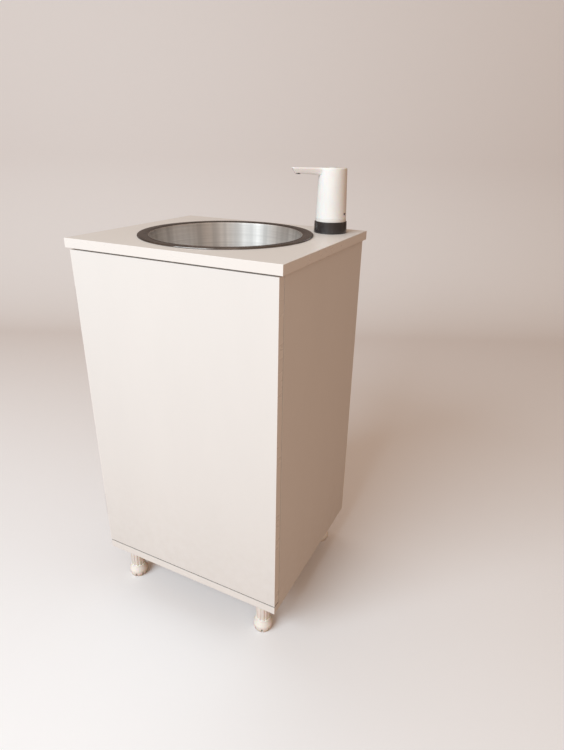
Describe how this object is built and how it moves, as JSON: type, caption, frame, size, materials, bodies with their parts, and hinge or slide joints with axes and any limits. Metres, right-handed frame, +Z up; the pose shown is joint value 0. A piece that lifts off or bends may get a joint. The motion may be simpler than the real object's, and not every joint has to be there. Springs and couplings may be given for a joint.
{
  "type": "portable handwash sink",
  "caption": "Free-standing handwash sink: white cabinet on adjustable legs, hinged door, round steel basin, rechargeable pump with a spout, and fresh and waste water jugs.",
  "frame": {"origin": "on the floor, under the middle of the worktop", "axes": "+X to the right seen from the front, +Y to the back, +Z up; the door faces -Y"},
  "size_m": [0.46, 0.4, 0.9509],
  "materials": {
    "white_melamine": "white melamine-faced chipboard, satin with a fine pore texture",
    "white_edge_band": "white edge banding, satin",
    "white_hardboard": "thin lacquered hardboard, matt",
    "beech_dowel": "plain beech",
    "zinc_steel": "zinc-plated steel",
    "basin_steel": "spun stainless steel, brushed round the bowl, bright lip",
    "polished_steel": "polished stainless steel",
    "leg_plastic": "white moulded plastic",
    "pump_white": "glossy white moulded plastic",
    "button_grey": "soft light grey plastic",
    "collar_black": "satin black moulded plastic",
    "latch_grey": "grey moulded plastic",
    "black_rubber": "black rubber",
    "drain_plastic": "white drain plastic",
    "fresh_jug_plastic": "pale blue blow-moulded polyethylene",
    "waste_jug_plastic": "milky blow-moulded polyethylene",
    "silicone": "milky silicone tube",
    "circuit_green": "green circuit board",
    "battery_sleeve": "blue shrink sleeve",
    "motor_steel": "plated motor can on a plastic housing"
  },
  "bodies": {
    "cabinet": {"countertop": "white_melamine", "countertop_edge_band": "white_edge_band", "side_panel_left": "white_melamine", "side_panel_right": "white_melamine", "bottom_board": "white_melamine", "bottom_board_edge_band": "white_edge_band", "back_panel": "white_hardboard", "top_rail_front": "white_melamine", "top_rail_back": "white_melamine", "rail_dowels": "beech_dowel", "carcass_screws": "zinc_steel", "worktop_screws": "zinc_steel", "back_panel_screws": "zinc_steel", "leg_screws": "zinc_steel", "hinge_frame_leaves": "zinc_steel", "hinge_pins": "zinc_steel", "hinge_screws_frame": "zinc_steel", "touch_latch_housing": "latch_grey", "touch_latch_spring": "zinc_steel", "touch_latch_screws": "zinc_steel", "basin": "basin_steel", "basin_seal": "black_rubber", "basin_clips": "zinc_steel", "basin_clip_screws": "zinc_steel", "drain_flange": "polished_steel", "drain_gasket": "black_rubber", "drain_lock_nut": "drain_plastic", "drain_tailpiece": "drain_plastic", "drain_slip_nut": "drain_plastic", "fresh_water_jug": "fresh_jug_plastic", "waste_water_jug": "waste_jug_plastic", "pump_collar": "collar_black", "pump_collar_nut": "collar_black", "leg_front_left": "leg_plastic", "leg_front_right": "leg_plastic", "leg_back_left": "leg_plastic", "leg_back_right": "leg_plastic"},
    "door": {"door": "white_melamine", "door_edge_band": "white_edge_band", "strike_plate": "zinc_steel", "hinge_door_leaves": "zinc_steel", "hinge_screws_door": "zinc_steel"},
    "pump_head": {"pump_base_ring": "pump_white", "pump_shell": "pump_white", "pump_spout": "pump_white", "pump_top_cap": "pump_white", "pump_switch_board": "circuit_green", "pump_button_spring": "zinc_steel", "pump_motor": "motor_steel", "pump_battery": "battery_sleeve", "pump_outlet_tube": "silicone", "pump_charging_board": "circuit_green", "suction_tube": "silicone"},
    "pump_button": {"pump_button": "button_grey"},
    "latch_plunger": {"touch_latch_plunger": "latch_grey"},
    "strainer": {"strainer": "polished_steel"},
    "foot_front_left": {"foot_front_left": "leg_plastic"},
    "foot_front_right": {"foot_front_right": "leg_plastic"},
    "foot_back_left": {"foot_back_left": "leg_plastic"},
    "foot_back_right": {"foot_back_right": "leg_plastic"}
  },
  "joints": [
    {"name": "door_swing", "type": "hinge", "parent": "cabinet", "child": "door", "pos_m": [-0.2256, -0.1775, 0.457], "axis": [0, 0, -1], "range_deg": [0, 180]},
    {"name": "pump_swivel", "type": "hinge", "parent": "cabinet", "child": "pump_head", "pos_m": [0.169, 0.141, 0.85], "axis": [0, 0, 1], "range_deg": [-90, 90]},
    {"name": "pump_button_press", "type": "slide", "parent": "pump_head", "child": "pump_button", "axis": [0, 0, -1], "range_m": [0, 0.0015], "stiffness_N_per_m": 400, "springref_m": -0.003, "deforming": ["pump_button_spring"]},
    {"name": "latch_plunger_press", "type": "slide", "parent": "cabinet", "child": "latch_plunger", "axis": [0, 1, 0], "range_m": [0, 0.003], "stiffness_N_per_m": 300, "springref_m": -0.002, "deforming": ["touch_latch_spring"]},
    {"name": "strainer_lift", "type": "slide", "parent": "cabinet", "child": "strainer", "axis": [0, 0, 1], "range_m": [0, 0.2]},
    {"name": "foot_front_left_level", "type": "slide", "parent": "cabinet", "child": "foot_front_left", "axis": [0, 0, -1], "range_m": [0, 0.02]},
    {"name": "foot_front_right_level", "type": "slide", "parent": "cabinet", "child": "foot_front_right", "axis": [0, 0, -1], "range_m": [0, 0.02]},
    {"name": "foot_back_left_level", "type": "slide", "parent": "cabinet", "child": "foot_back_left", "axis": [0, 0, -1], "range_m": [0, 0.02]},
    {"name": "foot_back_right_level", "type": "slide", "parent": "cabinet", "child": "foot_back_right", "axis": [0, 0, -1], "range_m": [0, 0.02]}
  ]
}
